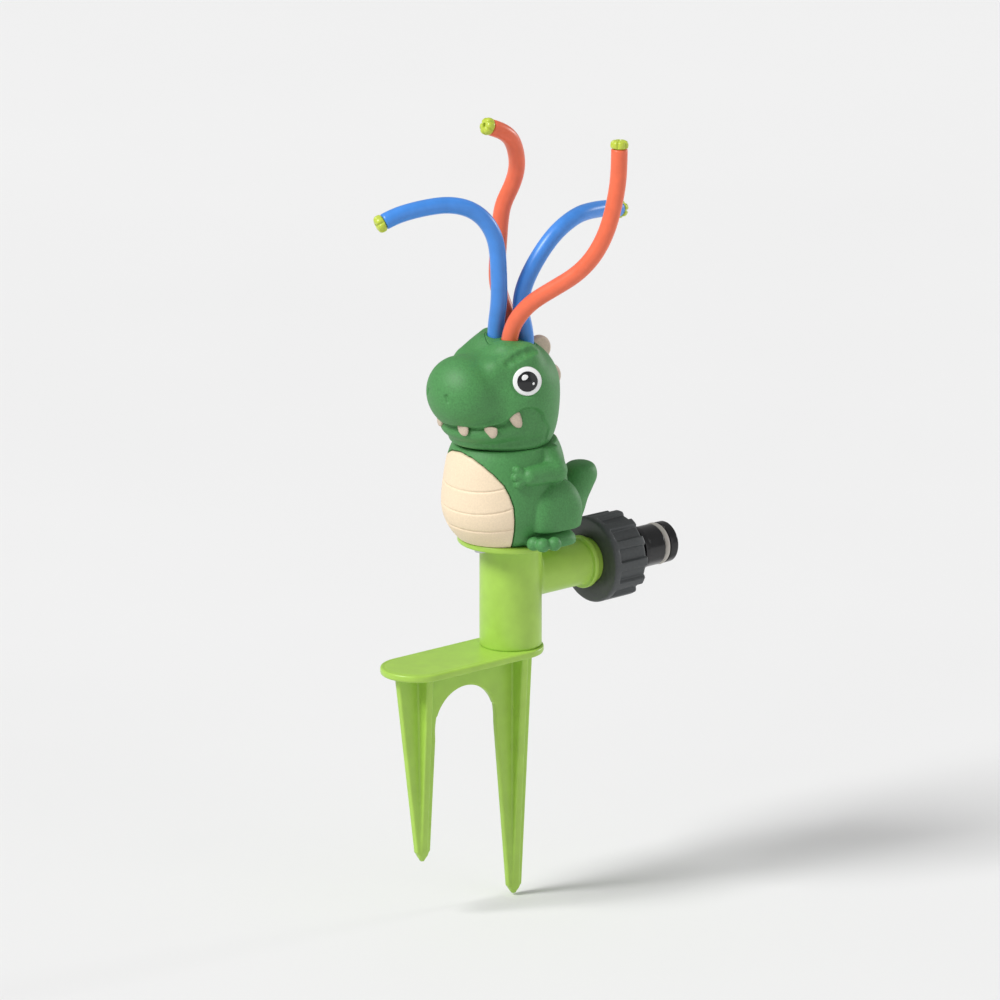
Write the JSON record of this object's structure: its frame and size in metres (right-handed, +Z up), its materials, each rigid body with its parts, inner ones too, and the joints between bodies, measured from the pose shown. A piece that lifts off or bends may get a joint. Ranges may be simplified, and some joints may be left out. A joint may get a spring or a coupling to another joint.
{
  "type": "garden sprinkler",
  "caption": "Dinosaur-shaped wiggling-hose garden sprinkler on a two-prong ground stake, with a side inlet, a swivel coupling nut and a push-fit hose tail.",
  "frame": {"origin": "on the water column's axis at ground level, under the foot plate", "axes": "+Z up; -Y the way the foot plate reaches and, within 5 degrees, the way the dinosaur looks; +Y the way the inlet and hose tail point"},
  "size_m": [0.0703, 0.1396, 0.311],
  "materials": {
    "stake_plastic": "smooth lime green moulded plastic, soft sheen",
    "nut_plastic": "dark grey moulded plastic, fine texture",
    "tail_plastic": "black moulded plastic, polished",
    "o_ring_rubber": "pale grey soft rubber",
    "washer_rubber": "black flat sealing washer",
    "seal_rubber": "black O-ring",
    "pipe_plastic": "plain white pipe",
    "screw_steel": "zinc plated",
    "dino_plastic": "matte green soft-touch plastic with a fine stipple",
    "belly_plastic": "matte cream plastic with three grooves",
    "tooth_plastic": "matte cream plastic",
    "eye_white_plastic": "glossy white",
    "eye_black_plastic": "glossy black",
    "hose_blue": "smooth blue flexible tube",
    "hose_orange": "smooth orange flexible tube",
    "nozzle_plastic": "yellow-green moulded cap"
  },
  "bodies": {
    "stand": {"ground_stake": "stake_plastic", "column": "stake_plastic", "coupling_washer": "washer_rubber", "riser_pipe": "pipe_plastic", "riser_seal": "seal_rubber", "manifold": "stake_plastic", "manifold_seal": "seal_rubber", "hose_guide": "dino_plastic", "mounting_ring": "dino_plastic", "base_screws": "screw_steel", "neck_ring": "dino_plastic", "dino_body": "dino_plastic", "dino_head": "dino_plastic", "belly_panel": "belly_plastic", "teeth": "tooth_plastic", "head_crest": "tooth_plastic", "back_plates": "tooth_plastic", "eye_whites": "eye_white_plastic", "eye_pupils": "eye_black_plastic", "eye_glints": "eye_white_plastic", "front_blue_root": "hose_blue", "front_orange_root": "hose_orange", "rear_blue_root": "hose_blue", "rear_orange_root": "hose_orange"},
    "nut": {"swivel_nut": "nut_plastic"},
    "tail": {"hose_tail": "tail_plastic", "tail_o_ring": "o_ring_rubber"},
    "front_blue": {"front_blue_hose": "hose_blue", "front_blue_nozzle": "nozzle_plastic"},
    "front_orange": {"front_orange_hose": "hose_orange", "front_orange_nozzle": "nozzle_plastic"},
    "rear_blue": {"rear_blue_hose": "hose_blue", "rear_blue_nozzle": "nozzle_plastic"},
    "rear_orange": {"rear_orange_hose": "hose_orange", "rear_orange_nozzle": "nozzle_plastic"}
  },
  "joints": [
    {"name": "nut_turn", "type": "hinge", "parent": "stand", "child": "nut", "pos_m": [0, 0.039, 0.0288], "axis": [0, -1, 0], "range_deg": [0, 1440]},
    {"name": "tail_unscrew", "type": "slide", "parent": "stand", "child": "tail", "axis": [0, 1, 0], "range_m": [0, 0.00884]},
    {"name": "front_blue_sway", "type": "hinge", "parent": "stand", "child": "front_blue", "pos_m": [-0.0041, -0.0041, 0.1267], "axis": [0.7071, -0.7071, 0], "range_deg": [-5, 20], "stiffness_Nm_per_rad": 0.05},
    {"name": "front_orange_sway", "type": "hinge", "parent": "stand", "child": "front_orange", "pos_m": [0.0041, -0.0041, 0.1267], "axis": [0.7071, 0.7071, 0], "range_deg": [-5, 20], "stiffness_Nm_per_rad": 0.05},
    {"name": "rear_blue_sway", "type": "hinge", "parent": "stand", "child": "rear_blue", "pos_m": [0.0041, 0.0041, 0.1267], "axis": [-0.7071, 0.7071, 0], "range_deg": [-5, 20], "stiffness_Nm_per_rad": 0.05},
    {"name": "rear_orange_sway", "type": "hinge", "parent": "stand", "child": "rear_orange", "pos_m": [-0.0041, 0.0041, 0.1267], "axis": [-0.7071, -0.7071, 0], "range_deg": [-5, 20], "stiffness_Nm_per_rad": 0.05}
  ],
  "couplings": [
    {"joint": "tail_unscrew", "follows": "nut_turn", "m_per_rad": 0.00035157}
  ]
}
